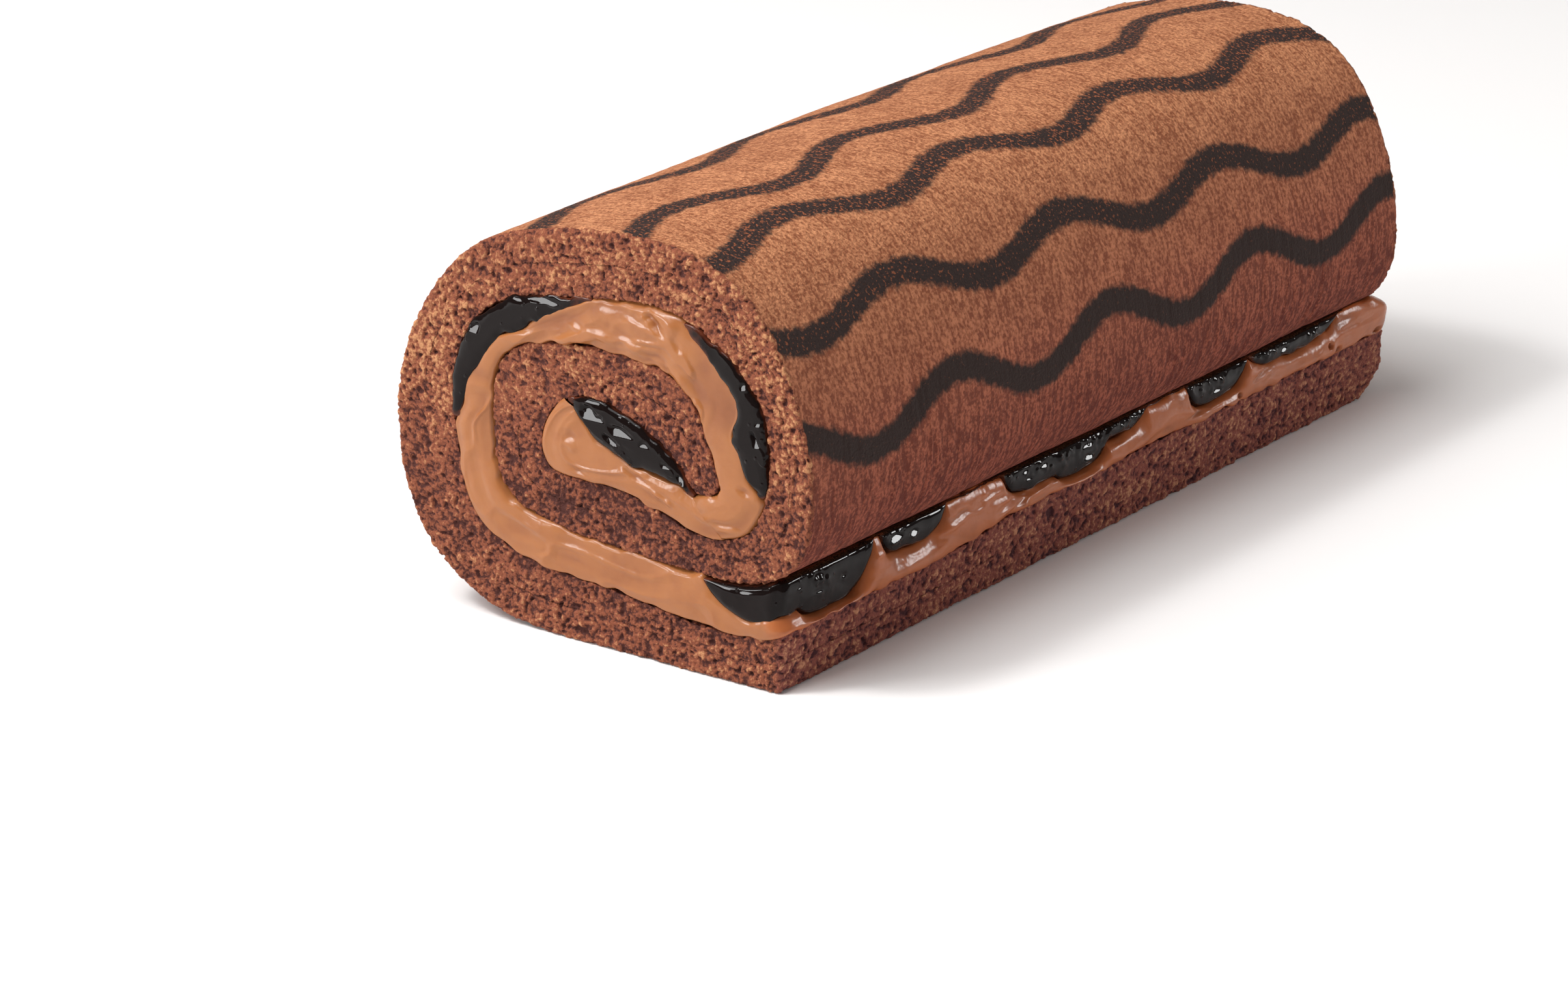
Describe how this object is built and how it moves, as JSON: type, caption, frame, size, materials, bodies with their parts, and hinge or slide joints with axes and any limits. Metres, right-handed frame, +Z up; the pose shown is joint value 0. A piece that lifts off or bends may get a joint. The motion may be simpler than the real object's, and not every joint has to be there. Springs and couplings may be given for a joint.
{
  "type": "swiss roll cake",
  "caption": "Chocolate sponge sheet rolled round cream and chocolate sauce, lying on its loose tail, with dark wavy stripes baked into the skin.",
  "frame": {"origin": "middle of the base, under the middle of the box round the whole roll", "axes": "+Y along the roll, away from the cut face that the picture shows, +X to the right across that face toward the loose tail, +Z up"},
  "size_m": [0.09, 0.2036, 0.0764],
  "materials": {
    "sponge": "matt, open baked crumb and a thin baked skin",
    "cream": "soft satin, spread chocolate cream",
    "sauce": "wet gloss, dark chocolate sauce"
  },
  "bodies": {
    "root": {"sponge": "sponge", "cream": "cream", "sauce_left": "sauce", "sauce_right": "sauce", "sauce_middle": "sauce", "sauce_tail": "sauce"}
  },
  "joints": []
}
